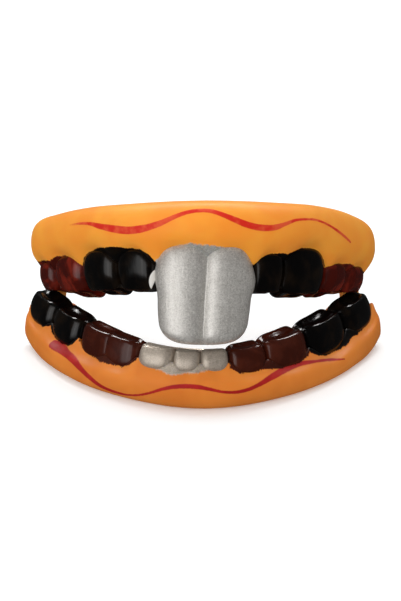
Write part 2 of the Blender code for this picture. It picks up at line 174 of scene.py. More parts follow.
# %% Mesh from a tube of profiles
def tube_mesh(name, rings, facts):
    """Closed mesh from rings of points, shape (rings, around, 3). Each end gets a pole at the
    mean of its ring. Facts are named values for each ring point, kept as attributes."""
    count, around = rings.shape[:2]
    points = np.concatenate([rings.reshape(-1, 3), [rings[0].mean(0), rings[-1].mean(0)]])
    here = np.arange(count - 1)[:, None] * around + np.arange(around)
    following = np.arange(count - 1)[:, None] * around + (np.arange(around) + 1) % around
    quads = np.stack([here, following, following + around, here + around], -1).reshape(-1, 4)
    ring = np.arange(around)
    turned = (ring + 1) % around
    first = np.stack([turned, ring, np.full(around, count * around)], -1)
    last = np.stack([ring, turned, np.full(around, count * around + 1)], -1)
    last[:, :2] += (count - 1) * around
    fans = np.concatenate([first, last])
    corners = points[quads]
    volume = np.einsum("ij,ij->i", corners[:, 0], np.cross(corners[:, 1], corners[:, 2])).sum()
    volume += np.einsum("ij,ij->i", corners[:, 0], np.cross(corners[:, 2], corners[:, 3])).sum()
    if volume < 0.0:
        quads, fans = quads[:, ::-1], fans[:, ::-1]
    mesh = bpy.data.meshes.new(name)
    mesh.from_pydata(points.tolist(), [], quads.tolist() + fans.tolist())
    mesh.shade_smooth()
    for fact, values in facts.items():
        wide = values.ndim == 3
        poles = np.stack([values[0].mean(0), values[-1].mean(0)])
        flat = np.concatenate([values.reshape((-1,) + values.shape[2:]), poles])
        made = mesh.attributes.new(fact, "FLOAT_VECTOR" if wide else "FLOAT", "POINT")
        made.data.foreach_set("vector" if wide else "value", flat.astype(np.float32).ravel())
    return mesh


def add_piece(mesh, material, slot_name, *nodes):
    """The mesh as a finished piece: it rides on the body and stands for its CAD nodes."""
    piece = bpy.data.objects.new(mesh.name, mesh)
    bpy.context.scene.collection.objects.link(piece)
    mesh.materials.append(material)
    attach(piece, "root")
    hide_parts(*nodes)
    return piece


# %% [markdown]
# Finishes are node trees. A small helper adds a node, feeds its inputs in order or by name,
# each with a number or with another node's output, and hands back its output.

# %% Wiring helpers
def put(tree, kind, *inputs, output=0, settings=None, **named):
    """A new shader node's output, with its inputs fed in order or by name."""
    made = tree.nodes.new("ShaderNode" + kind)
    for setting, value in (settings or {}).items():
        setattr(made, setting, value)
    fed = list(enumerate(inputs)) + [(name.replace("_", " "), v) for name, v in named.items()]
    for socket_name, value in fed:
        socket = made.inputs[socket_name]
        if isinstance(value, bpy.types.NodeSocket):
            tree.links.new(value, socket)
        elif value is not None:
            socket.default_value = value
    return made.outputs[output]


def sums(tree, operation, first, second=0.0):
    """A Math node: its operation on two values."""
    return put(tree, "Math", first, second, settings={"operation": operation})


def ramp(tree, value, low, high, to_low=0.0, to_high=1.0, smooth=True):
    """Value mapped from low..high to to_low..to_high, clamped, with eased ends."""
    kind = "SMOOTHSTEP" if smooth else "LINEAR"
    return put(tree, "MapRange", value, low, high, to_low, to_high,
               settings={"interpolation_type": kind, "clamp": True})


def mixed(tree, share, first, second):
    """Colour between two, by a share."""
    made = tree.nodes.new("ShaderNodeMix")
    made.data_type = "RGBA"
    for socket, value in ((made.inputs[0], share), (made.inputs[6], first), (made.inputs[7], second)):
        if isinstance(value, bpy.types.NodeSocket):
            tree.links.new(value, socket)
        else:
            socket.default_value = value
    return made.outputs[2]


def noise(tree, place, scale, detail=3.0, roughness=0.55, distortion=0.0):
    """Soft noise round one half. The scale is in waves per unit of the place."""
    return put(tree, "TexNoise", Vector=place, Scale=scale, Detail=detail,
               Roughness=roughness, Distortion=distortion)


def read(tree, name, vector=False):
    """An attribute of the mesh, as a vector or as a number."""
    return put(tree, "Attribute", output=1 if vector else 2, settings={"attribute_name": name})


def object_place(tree):
    """The point's own coordinates in metres, which stay with the piece when it moves."""
    return put(tree, "TexCoord", output=3)


def colour(red, green, blue):
    """A colour given as 0 to 255 on a screen, in the linear values that shaders want."""
    share = np.array([red, green, blue]) / 255.0
    linear = np.where(share <= 0.04045, share / 12.92, ((share + 0.055) / 1.055) ** 2.4)
    return (*[float(v) for v in linear], 1.0)


def new_group(name, inputs, outputs):
    """An empty node group. Inputs are (name, kind, value), outputs (name, kind)."""
    group = bpy.data.node_groups.new(name, "ShaderNodeTree")
    for label, kind, value in inputs:
        socket = group.interface.new_socket(label, in_out="INPUT", socket_type="NodeSocket" + kind)
        if value is not None:
            socket.default_value = value
    for label, kind in outputs:
        group.interface.new_socket(label, in_out="OUTPUT", socket_type="NodeSocket" + kind)
    return group, group.nodes.new("NodeGroupInput").outputs, group.nodes.new("NodeGroupOutput").inputs


def use_group(tree, group, **inputs):
    """The outputs of a group placed in a tree, by name."""
    made = tree.nodes.new("ShaderNodeGroup")
    made.node_tree = group
    for name, value in inputs.items():
        socket = made.inputs[name.replace("_", " ")]
        if isinstance(value, bpy.types.NodeSocket):
            tree.links.new(value, socket)
        else:
            socket.default_value = value
    return made.outputs


def new_finish(name, **fixed):
    """A material with its Principled shader's unlinked sockets set, and its tree."""
    material = bpy.data.materials.new(name)
    material.use_nodes = True
    shader = material.node_tree.nodes["Principled BSDF"]
    for socket, value in fixed.items():
        shader.inputs[socket.replace("_", " ")].default_value = value
    return material, material.node_tree, shader.inputs


print("screen grey 128 is", round(colour(128, 128, 128)[0], 3), "in linear light")

# %% [markdown]
# Paint. Every colour is brushed on by hand and stops in a ragged line, where single bristles
# ran on. The meshes carry the distance to each paint's edge in millimetres, and one group
# turns it into a mask: noise stretched along the brush stroke moves the edge to and fro. Stroke
# is the place on the arch in millimetres: along, out and up.

# %% Ragged paint edge
group, given, result = new_group(
    "ragged_paint_edge",
    [("Distance", "Float", 0.0), ("Stroke", "Vector", None), ("Ragged", "Float", 0.2),
     ("Softness", "Float", 0.05)],
    [("Mask", "Float")])
BRISTLE_WAVES = (3.4, 0.9, 1.0)       # per mm along, out and up: narrow along, as bristles are
bristles = noise(group, put(group, "VectorMath", given["Stroke"], BRISTLE_WAVES,
                            settings={"operation": "MULTIPLY"}), 1.0, detail=4.0)
waver = noise(group, given["Stroke"], 0.55, detail=2.0)
shift = sums(group, "MULTIPLY", sums(group, "SUBTRACT", sums(group, "ADD", bristles, waver), 1.0),
             sums(group, "MULTIPLY", given["Ragged"], 2.2))
moved = sums(group, "ADD", given["Distance"], shift)
over = sums(group, "DIVIDE", moved, given["Softness"])
group.links.new(ramp(group, over, -1.0, 1.0), result["Mask"])
ragged_paint_edge = group
print("group", group.name, "with", len(group.nodes), "nodes")

# %% [markdown]
# Soft vinyl is never one flat colour: pigment settles unevenly in the mould, so it has broad
# cloudy patches, and its skin has a fine grain that breaks up the gloss.

# %% Vinyl skin
group, given, result = new_group(
    "vinyl_skin", [("Place", "Vector", None)], [("Cloud", "Float"), ("Grain", "Float")])
CLOUDS, GRAINS = 110.0, 2600.0        # per metre: patches of 9 mm, grain of 0.4 mm
cloud = noise(group, given["Place"], CLOUDS, detail=2.0, distortion=0.4)
group.links.new(ramp(group, cloud, 0.3, 0.7), result["Cloud"])
group.links.new(noise(group, given["Place"], GRAINS, detail=2.0), result["Grain"])
vinyl_skin = group
print("group", group.name, "with", len(group.nodes), "nodes")

# %% [markdown]
# Brushed enamel pools where the brush stops and thins over what stands proud. The group gives
# a thinness, for colour that shows through, and low brush waves for the relief.

# %% Brushed enamel
group, given, result = new_group(
    "brushed_enamel", [("Place", "Vector", None), ("Stroke", "Vector", None)],
    [("Thin", "Float"), ("Waves", "Float")])
THIN_PATCHES = 260.0                  # per metre, so about 4 mm each
patches = noise(group, given["Place"], THIN_PATCHES, detail=3.0, distortion=0.8)
group.links.new(ramp(group, patches, 0.42, 0.72), result["Thin"])
BRUSH_WAVES = (1.1, 0.3, 0.5)         # per mm along, out and up
strokes = put(group, "VectorMath", given["Stroke"], BRUSH_WAVES, settings={"operation": "MULTIPLY"})
group.links.new(noise(group, strokes, 1.0, detail=3.0), result["Waves"])
brushed_enamel = group
print("group", group.name, "with", len(group.nodes), "nodes")

# %% [markdown]
# Silver paint is metal flake in clear lacquer: each flake lies at its own angle, so the paint
# sparkles from spot to spot, in streaks that follow the brush.

# %% Metal flake
group, given, result = new_group(
    "metal_flake", [("Place", "Vector", None), ("Stroke", "Vector", None)],
    [("Glint", "Float"), ("Streak", "Float")])
FINE_FLAKES, COARSE_FLAKES = 7000.0, 4200.0       # flakes per metre
FINE_SHARE, COARSE_SHARE = 0.6, 0.4
STREAK_WAVES = (2.4, 0.14, 0.3)                   # per mm along, out and up
fine = put(group, "SeparateColor", put(group, "TexVoronoi", Vector=given["Place"],
                                       Scale=FINE_FLAKES, output=1))
coarse = put(group, "SeparateColor", put(group, "TexVoronoi", Vector=given["Place"],
                                         Scale=COARSE_FLAKES, output=1))
group.links.new(sums(group, "ADD", sums(group, "MULTIPLY", fine, FINE_SHARE),
                     sums(group, "MULTIPLY", coarse, COARSE_SHARE)), result["Glint"])
strokes = put(group, "VectorMath", given["Stroke"], STREAK_WAVES, settings={"operation": "MULTIPLY"})
group.links.new(noise(group, strokes, 1.0, detail=5.0, roughness=0.65), result["Streak"])
metal_flake = group
print("group", group.name, "with", len(group.nodes), "nodes")

# %% [markdown]
# The colours, in the 0 to 255 of a screen. Each finish has two, because no hand-painted thing
# has one: where paint is thick and thin, or where a flake turns from or to the light. The two
# mixing rules are functions, because the same paint lies on a crown and, past its edge, on the
# gum.

# %% Paint colours
UPPER_LIGHT, UPPER_DEEP = colour(254, 166, 57), colour(250, 152, 49)
# Painted shade: the lower gum's vinyl is a darker copy of the upper gum's, because its front faces down, away
# from the light above.
SHADED_LOWER_LIGHT, SHADED_LOWER_DEEP = colour(226, 133, 50), colour(214, 120, 42)
BLACK_PAINT, BLACK_THIN = colour(4, 3, 3), colour(22, 14, 7)
BROWN_PAINT, BROWN_THIN = colour(55, 18, 8), colour(70, 27, 15)
RED_BROWN_PAINT, RED_BROWN_THIN = colour(64, 12, 5), colour(124, 34, 18)
SILVER_DARK, SILVER_LIGHT = colour(168, 163, 156), colour(236, 233, 227)
# Painted shade: the lower row's silver is a darker, warmer copy of the same silver paint.
SHADED_SILVER_DARK, SHADED_SILVER_LIGHT = colour(160, 147, 132), colour(208, 195, 180)
VEIN_RED, VEIN_RED_THIN = colour(214, 26, 20), colour(226, 80, 46)
# Painted shade: the lower gum's vein is a darker copy of the upper gum's red.
SHADED_VEIN_DARK, SHADED_VEIN_DARK_THIN = colour(160, 8, 22), colour(176, 24, 28)
SILVER_METAL = 0.55            # less than 1, since lacquer lies over and between the flakes


def silver_colour(tree, place, stroke, dark, light):
    """Dark to light by the flakes' glint, plus a fifth of the way along brush streaks. Also
    the flake group's outputs, for roughness and relief."""
    flake = use_group(tree, metal_flake, Place=place, Stroke=stroke)
    share = sums(tree, "ADD", sums(tree, "MULTIPLY", flake["Glint"], 0.8),
                 ramp(tree, flake["Streak"], 0.3, 0.7, 0.0, 0.2))
    return mixed(tree, share, dark, light), flake


def enamel_colour(tree, place, stroke, thick, thin):
    """Thick colour to thin by the enamel's thinness. Also the enamel group's outputs."""
    brushed = use_group(tree, brushed_enamel, Place=place, Stroke=stroke)
    return mixed(tree, brushed["Thin"], thick, thin), brushed


print("colours from", UPPER_LIGHT[0], "red on the upper gum to", round(BLACK_PAINT[0], 4), "on the black")

# %% [markdown]
# The gums are tinted soft vinyl. Light goes a little way in and comes out warmer, which a low
# share of subsurface scattering does and a lighter colour doesn't. The vein and the crowns'
# paint lie on top. Cutting the mesh where paint ends would give hard, stepped edges, so each
# paint comes in through a mask, and one material holds them all.

# %% Gum vinyl
VEIN_COVER = 0.97                     # a little vinyl shows through the vein
VEIN_RELIEF, PAINT_RELIEF, GRAIN_RELIEF = 0.02, 0.12, 0.012      # mm


def gum_finish(name, vinyl, vein, brown, silver):
    """Vinyl with its vein and the paint that ran on from the crowns. Each mask lays one paint
    over the last, and the same masks set the roughness, the metal and the relief."""
    material, tree, shader = new_finish(name, Subsurface_Weight=0.30, Subsurface_Scale=0.0018,
                                        Specular_IOR_Level=0.18)
    shader["Subsurface Radius"].default_value = (1.0, 0.45, 0.15)
    place, stroke = object_place(tree), read(tree, "place", vector=True)
    skin = use_group(tree, vinyl_skin, Place=place)
    shown = mixed(tree, skin["Cloud"], *vinyl)
    edge = use_group(tree, ragged_paint_edge, Distance=read(tree, "vein"), Stroke=stroke,
                     Ragged=0.05, Softness=0.09)
    rubbed = ramp(tree, noise(tree, stroke, 0.35, detail=3.0), 0.4, 0.62)
    shown = mixed(tree, sums(tree, "MULTIPLY", edge["Mask"], VEIN_COVER), shown,
                  mixed(tree, rubbed, *vein))
    silver_shown = silver_colour(tree, place, stroke, *silver)[0]
    # name, raggedness and softness of the edge in mm, colour, roughness
    paints = (
        ("brown", 0.30, 0.08, enamel_colour(tree, place, stroke, *brown)[0], 0.34),
        ("silver", 0.34, 0.22, silver_shown, 0.42),
        ("black", 0.24, 0.06, enamel_colour(tree, place, stroke, BLACK_PAINT, BLACK_THIN)[0], 0.36),
    )
    rough = ramp(tree, skin["Grain"], 0.3, 0.7, 0.46, 0.56, smooth=False)
    height = sums(tree, "MULTIPLY", edge["Mask"], VEIN_RELIEF)
    metal = 0.0
    for paint, ragged, softness, paint_colour, gloss in paints:
        edge = use_group(tree, ragged_paint_edge, Distance=read(tree, paint), Stroke=stroke,
                         Ragged=ragged, Softness=softness)
        shown = mixed(tree, edge["Mask"], shown, paint_colour)
        bare = sums(tree, "SUBTRACT", 1.0, edge["Mask"])
        rough = sums(tree, "ADD", sums(tree, "MULTIPLY", rough, bare),
                     sums(tree, "MULTIPLY", edge["Mask"], gloss))
        height = sums(tree, "ADD", height, sums(tree, "MULTIPLY", edge["Mask"], PAINT_RELIEF))
        if paint == "silver":
            metal = sums(tree, "MULTIPLY", edge["Mask"], SILVER_METAL)
    height = sums(tree, "ADD", height, sums(tree, "MULTIPLY", skin["Grain"], GRAIN_RELIEF))
    tree.links.new(shown, shader["Base Color"])
    tree.links.new(rough, shader["Roughness"])
    tree.links.new(metal, shader["Metallic"])
    tree.links.new(put(tree, "Bump", Strength=0.6, Distance=MM, Height=height), shader["Normal"])
    return material


upper_vinyl = gum_finish("upper_gum_vinyl", (UPPER_DEEP, UPPER_LIGHT), (VEIN_RED, VEIN_RED_THIN),
                         (RED_BROWN_PAINT, RED_BROWN_THIN), (SILVER_DARK, SILVER_LIGHT))
# The lower gum takes the darker copies of the vinyl and the vein: painted shade.
shaded_lower_vinyl = gum_finish("lower_gum_vinyl", (SHADED_LOWER_DEEP, SHADED_LOWER_LIGHT), (SHADED_VEIN_DARK, SHADED_VEIN_DARK_THIN),
                         (BROWN_PAINT, BROWN_THIN), (SHADED_SILVER_DARK, SHADED_SILVER_LIGHT))
print("gum materials", upper_vinyl.name, shaded_lower_vinyl.name)

# %% [markdown]
# The crowns' paints. Black and brown are thick gloss enamel: nearly one colour, smooth, with
# waves so low that they only bend the highlights. Silver has its flakes in the colour, the
# roughness and the relief, under a thin clear coat that gives a second, sharper highlight.

# %% Crown enamels
ENAMEL_WAVES, FLAKE_RELIEF, STREAK_RELIEF = 0.03, 0.02, 0.03      # mm


def enamel_finish(name, thick, thin, gloss):
    """Enamel. Where the mesh marks the silver slip, a field in millimetres, silver was brushed over it, drawn
    in the lightest silver tone as a painted highlight.
    """
    material, tree, shader = new_finish(name, Specular_IOR_Level=0.35)
    place, stroke = object_place(tree), read(tree, "place", vector=True)
    shown, brushed = enamel_colour(tree, place, stroke, thick, thin)
    # Painted highlight: the silver slip is filled with the lightest silver tone, without metal.
    dab_and_highlight = ramp(tree, read(tree, "dab_and_highlight"), 0.02, 0.12)
    tree.links.new(mixed(tree, dab_and_highlight, shown, SILVER_LIGHT), shader["Base Color"])
    tree.links.new(ramp(tree, brushed["Waves"], 0.3, 0.7, gloss, gloss + 0.06), shader["Roughness"])
    height = sums(tree, "MULTIPLY", brushed["Waves"], ENAMEL_WAVES)
    tree.links.new(put(tree, "Bump", Strength=0.5, Distance=MM, Height=height), shader["Normal"])
    return material


def silver_finish(name, dark, light):
    """Silver paint: flakes that differ in colour, roughness and tilt, under a clear coat."""
    material, tree, shader = new_finish(name, Metallic=SILVER_METAL, Coat_Weight=0.5,
                                        Coat_Roughness=0.14)
    place, stroke = object_place(tree), read(tree, "place", vector=True)
    shown, flake = silver_colour(tree, place, stroke, dark, light)
    tree.links.new(shown, shader["Base Color"])
    tree.links.new(ramp(tree, flake["Glint"], 0.1, 0.9, 0.34, 0.54), shader["Roughness"])
    height = sums(tree, "ADD", sums(tree, "MULTIPLY", flake["Glint"], FLAKE_RELIEF),
                  sums(tree, "MULTIPLY", flake["Streak"], STREAK_RELIEF))
    tree.links.new(put(tree, "Bump", Strength=0.8, Distance=MM, Height=height), shader["Normal"])
    return material


FINISHES = {
    "black": (enamel_finish("black_enamel", BLACK_PAINT, BLACK_THIN, 0.17), "black_enamel"),
    "brown": (enamel_finish("brown_enamel", BROWN_PAINT, BROWN_THIN, 0.18), "brown_enamel"),
    "red brown": (enamel_finish("red_brown_enamel", RED_BROWN_PAINT, RED_BROWN_THIN, 0.18),
                  "brown_enamel"),
    "silver": (silver_finish("silver_paint", SILVER_DARK, SILVER_LIGHT), "silver_paint"),
    # The lower row's silver is the darker copy of the same paint: painted shade.
    "dull silver": (silver_finish("shaded_silver_paint", SHADED_SILVER_DARK, SHADED_SILVER_LIGHT), "silver_paint"),
}
print("finishes", [material.name for material in bpy.data.materials if material.use_nodes])

# %% [markdown]
# The crowns. On the real set each one is a rounded shell of the same moulding: a swelling lip
# side, a biting surface with a raised rim round an oval pit, and sides that draw in to the
# next. No two are alike, so a table drives one function. In millimetres: start and stop lie
# along the arch, neck is where the middle leaves the gum and top the biting edge, both up from
# the rim, slant is how far the bite falls to the lip, pit how deep it is pressed in, and belly
# how far the lip side swells. Edge is the bite's width as a share of the thickness.

# %% Tables of crowns
CROWN_COLUMNS = ("name", "finish", "start", "stop", "neck", "top", "slant", "edge", "pit", "belly")
LOWER_CROWNS = (
    ("lower_01_molar", "black", -47.0, -37.2, 6.1, 10.9, 0.2, 0.44, 0.8, 0.9),
    ("lower_02_molar", "black", -37.6, -28.0, 5.4, 10.6, 0.0, 0.42, 0.8, 0.9),
    ("lower_03_premolar", "brown", -28.2, -17.6, 6.0, 10.7, 0.0, 0.36, 0.4, 0.1),
    ("lower_04_canine", "brown", -21.4, -12.6, 6.3, 10.8, 0.0, 0.32, 0.2, 0.1),
    ("lower_05_incisor", "dull silver", -12.7, -5.4, 7.6, 10.8, 0.0, 0.24, 0.0, 0.8),
    ("lower_06_incisor", "dull silver", -5.6, -0.4, 7.8, 10.7, 0.0, 0.24, 0.0, 0.8),
    ("lower_07_incisor", "dull silver", -0.6, 4.8, 8.0, 10.8, 0.0, 0.24, 0.0, 0.8),
    ("lower_08_canine", "brown", 4.8, 12.4, 6.9, 10.9, 0.0, 0.40, 0.5, 0.8),
    ("lower_09_premolar", "brown", 12.2, 22.7, 6.1, 11.0, 0.0, 0.48, 0.9, 0.9),
    ("lower_10_molar", "black", 22.5, 34.8, 5.0, 10.8, 0.0, 0.46, 1.0, 1.0),
    ("lower_11_molar", "black", 34.6, 45.3, 5.8, 11.1, 0.3, 0.40, 0.9, 0.9),
)
LOWER_PAPILLAE = (8.6, 7.4, 7.7, 7.9, 8.6, 9.1, 9.2, 9.0, 8.2, 7.6, 7.2, 7.8)
UPPER_CROWNS = (
    ("upper_01_molar", "red brown", -45.0, -38.8, 11.5, 17.1, 0.6, 0.56, 0.6, 0.9),
    ("upper_02_molar", "red brown", -38.8, -28.4, 10.4, 17.9, 1.3, 0.60, 0.8, 1.1),
    ("upper_03_premolar", "black", -28.4, -18.0, 9.5, 17.4, 0.9, 0.56, 0.8, 1.1),
    ("upper_04_canine", "black", -18.0, -9.0, 9.4, 16.8, 0.3, 0.42, 0.3, 1.1),
    ("upper_05_canine", "black", 9.6, 16.6, 10.2, 17.1, 0.2, 0.42, 0.3, 0.9),
    ("upper_06_molar", "black", 16.6, 29.2, 9.1, 17.9, 0.8, 0.56, 0.8, 1.0),
    ("upper_07_molar", "red brown", 29.2, 36.6, 11.8, 17.9, 1.2, 0.58, 0.8, 0.8),
    ("upper_08_molar", "red brown", 36.6, 44.3, 12.3, 17.3, 0.4, 0.56, 0.6, 0.8),
)
# Marks are the places between two teeth, papillae the gum's height there
UPPER_MARKS = (-45.0, -38.8, -28.4, -18.0, -9.0, 0.7, 9.6, 16.6, 29.2, 36.6, 44.3)
UPPER_PAPILLAE = (12.4, 13.1, 12.3, 11.8, 12.3, 10.7, 12.3, 11.4, 12.6, 13.3, 13.6)
UPPER_NECKS = (11.5, 10.4, 9.5, 9.4, 9.1, 9.6, 10.2, 9.1, 11.8, 12.3)
LOWER_MARKS = (-47.0, -37.4, -28.1, -19.4, -12.7, -5.5, -0.5, 4.8, 12.3, 22.6, 34.7, 45.3)
LOWER_NECKS = tuple(row[CROWN_COLUMNS.index("neck")] for row in LOWER_CROWNS)
print("crowns", len(LOWER_CROWNS), "below and", len(UPPER_CROWNS), "above")

# %% [markdown]
# The gum line. It dips round the middle of every crown and rises to a point between two, the
# papilla, which is what makes a row of boxes look like teeth. A power of the distance from the
# middle gives that shape, and a little blur rounds the point, as thick vinyl does.

# %% Gum line
PAPILLA_POWER = 2.2
PAPILLA_BLUR = 0.35            # mm
NEAR_POWER = 5


def gum_line(marks, necks, papillae, along):
    """Height of the gum line: the neck at a crown's middle, plus the rise to the papilla times
    the distance from the middle, as a share of the half width, to a power. Also how near the
    place is to a papilla, from 0 to 1."""
    step = 0.05
    fine = np.arange(along.min() - 1.0, along.max() + 1.0, step)
    marks = np.array(marks)
    held = np.clip(fine, marks[0], marks[-1])
    tooth = np.clip(np.searchsorted(marks, held) - 1, 0, len(necks) - 1)
    middle = (marks[tooth] + marks[tooth + 1]) / 2.0
    share = (held - middle) / (marks[tooth + 1] - middle)
    nearer = np.array(papillae)[np.where(share > 0.0, tooth + 1, tooth)]
    rise = np.abs(share) ** PAPILLA_POWER
    height = np.array(necks)[tooth] * (1 - rise) + nearer * rise
    return (np.interp(along, fine, blurred(height, step, PAPILLA_BLUR)),
            np.interp(along, fine, blurred(np.abs(share) ** NEAR_POWER, step, PAPILLA_BLUR)))


heights, near = gum_line(LOWER_MARKS, LOWER_NECKS, LOWER_PAPILLAE, np.array([2.15, 4.8]))
print("gum line at a crown's middle and between two:", np.round(heights, 2), "mm")

# %% [markdown]
# The gums are channels: a thick swelling lip side, a collar round the necks, a plain tongue side,
# and inside them the hollow that goes over the wearer's own teeth. One closed profile, whose
# numbers change along the arch, gives all of it as a single surface without seams. The tables
# say how the rim, the swelling and the thickness change, to follow the outline in the photo.

# %% Gum tables
WALL = 1.3
ROOF_BELOW = 1.3               # of the neck, without its scallops
LEVEL_BLUR = 3.0
GUM_STATIONS = 460
GUM_AROUND = 176
LIP_SHARE, OUTER_SHARE = 0.34, 0.74   # of a ring's points: the lip side, and all but the channel
END_ROUNDING = 2.4
# Place as a share of half the row, then in mm: rim, bulge, thickness from lip to tongue side
LOWER_GUM = (
    (-1.05, 2.4, 1.5, 8.6), (-0.98, 1.2, 2.0, 8.8), (-0.86, 0.1, 2.6, 9.2),
    (-0.70, 0.0, 3.1, 9.4), (-0.50, 0.0, 3.1, 9.0), (-0.30, 0.0, 2.8, 8.2), (0.00, 0.0, 2.65, 7.4),
    (0.30, 0.0, 2.7, 8.2), (0.50, 0.0, 2.9, 9.0), (0.70, 0.0, 2.9, 9.4), (0.86, 0.1, 2.6, 9.2),
    (0.98, 1.0, 2.0, 8.8), (1.05, 2.0, 1.5, 8.6),
)
# How far the gum rises past the last crown, how far the collar stands out, how much fuller the
# lip side is near the rim at the sides, how far the tongue side drops at the rear
LOWER_END_RISE, LOWER_COLLAR, LOWER_FULLNESS, LOWER_TONGUE_DROP = 0.7, 1.0, 0.4, 1.5
UPPER_GUM = (
    (-1.05, 4.1, 1.9, 10.4), (-0.98, 3.0, 2.5, 10.4), (-0.84, 2.2, 2.6, 10.2),
    (-0.60, 1.3, 2.6, 9.6), (-0.34, 0.9, 2.6, 8.3), (0.00, 0.5, 2.6, 7.4),
    (0.34, 0.7, 2.6, 8.3), (0.60, 1.0, 2.6, 9.6), (0.84, 2.1, 2.7, 10.2),
    (0.98, 3.5, 2.6, 10.4), (1.05, 4.8, 1.9, 10.4),
)
UPPER_END_RISE, UPPER_COLLAR, UPPER_FULLNESS, UPPER_TONGUE_DROP = 0.6, 0.45, 0.0, 0.0
print("gum tables of", len(LOWER_GUM), "and", len(UPPER_GUM), "rows")

# %% [markdown]
# Where paint ends. The brush ran on past the crowns, so each colour has an edge of its own on
# the vinyl, here as points of along and up. Nothing but a hand decided where it went, so a table
# follows it better than any rule. A colour can have more than one stretch.

# %% Paint edges
LOWER_PAINT = {
    "black": (
        ((-46.2, 8.4), (-45.4, 7.8), (-44.4, 7.2), (-41.9, 5.9), (-39.5, 6.0), (-37.4, 6.9), (-36.2, 6.0),
         (-34.5, 5.3), (-32.6, 5.1), (-30.2, 5.4), (-28.8, 6.2), (-28.1, 7.2)),
        ((22.4, 6.6), (24.0, 5.6), (26.3, 4.8), (29.5, 4.6), (32.3, 4.7), (34.9, 5.6), (37.0, 5.4),
         (39.5, 5.4), (41.4, 6.3), (43.4, 7.2)),
    ),
    "brown": (
        ((-28.1, 7.4), (-25.8, 6.4), (-23.3, 5.9), (-20.9, 5.8), (-18.3, 5.9), (-15.2, 6.0), (-13.4, 7.0),
         (-12.5, 7.8)),
        ((4.7, 7.9), (6.2, 6.9), (9.4, 6.6), (11.7, 6.7), (13.7, 6.2), (16.0, 5.9), (19.5, 5.8), (21.3, 6.4),
         (22.6, 7.0)),
    ),
    "silver": (
        ((-12.8, 8.6), (-10.8, 8.0), (-8.5, 7.4), (-5.7, 6.9), (-3.9, 7.0), (-0.5, 7.6), (2.6, 8.4),
         (4.8, 8.9)),
    ),
}
UPPER_PAINT = {
    "black": (
        ((-28.3, 12.0), (-27.0, 10.6), (-25.2, 9.6), (-21.8, 8.8), (-19.0, 8.7), (-16.9, 8.65), (-14.2, 8.85),
         (-11.4, 9.1), (-9.6, 10.2), (-8.9, 11.3)),
        ((9.6, 12.0), (10.8, 10.6), (13.0, 9.9), (15.3, 9.8), (16.6, 10.0), (18.0, 9.5), (20.0, 8.9),
         (21.9, 8.75), (23.6, 9.0), (25.4, 9.7), (27.5, 10.7), (29.0, 12.2)),
    ),
    "brown": (
        ((-45.6, 11.2), (-43.4, 11.0), (-41.0, 10.9), (-38.8, 11.0), (-36.4, 10.3), (-33.2, 10.1),
         (-30.6, 10.8), (-28.4, 11.9)),
        ((29.2, 12.1), (31.8, 12.0), (34.3, 11.5), (36.4, 11.6), (39.5, 12.1), (42.4, 12.6), (44.6, 13.3)),
    ),
    "silver": (
        ((-9.0, 11.5), (-8.2, 10.8), (-6.4, 9.7), (-4.6, 8.7), (-3.4, 8.3), (-2.0, 8.1), (-0.5, 8.4),
         (3.0, 8.8), (6.6, 9.5), (8.0, 10.6), (9.5, 12.1)),
    ),
}

print("paint stretches", sum(len(s) for p in (LOWER_PAINT, UPPER_PAINT) for s in p.values()))

# %% [markdown]
# The profile starts at the rim and goes up the lip side, over the collar, through the trough
# where the crowns sit, down the tongue side, and back inside through the channel. Its control
# points are given from the rim, the neck or the level, which is the neck without its scallops,
# so that the form keeps its thickness wherever those rise or fall.

# %% Gum rings
def gum_stations(arch):
    """Places along a gum, closer together where its ends round off."""
    body = np.linspace(-1.0, 1.0, GUM_STATIONS - 40) * (arch.end - END_ROUNDING)
    turn = END_ROUNDING * np.sin(np.linspace(0.0, 0.5 * math.pi, 21))[1:]
    return np.concatenate([-(arch.end - END_ROUNDING) - turn[::-1], body,
                           arch.end - END_ROUNDING + turn])


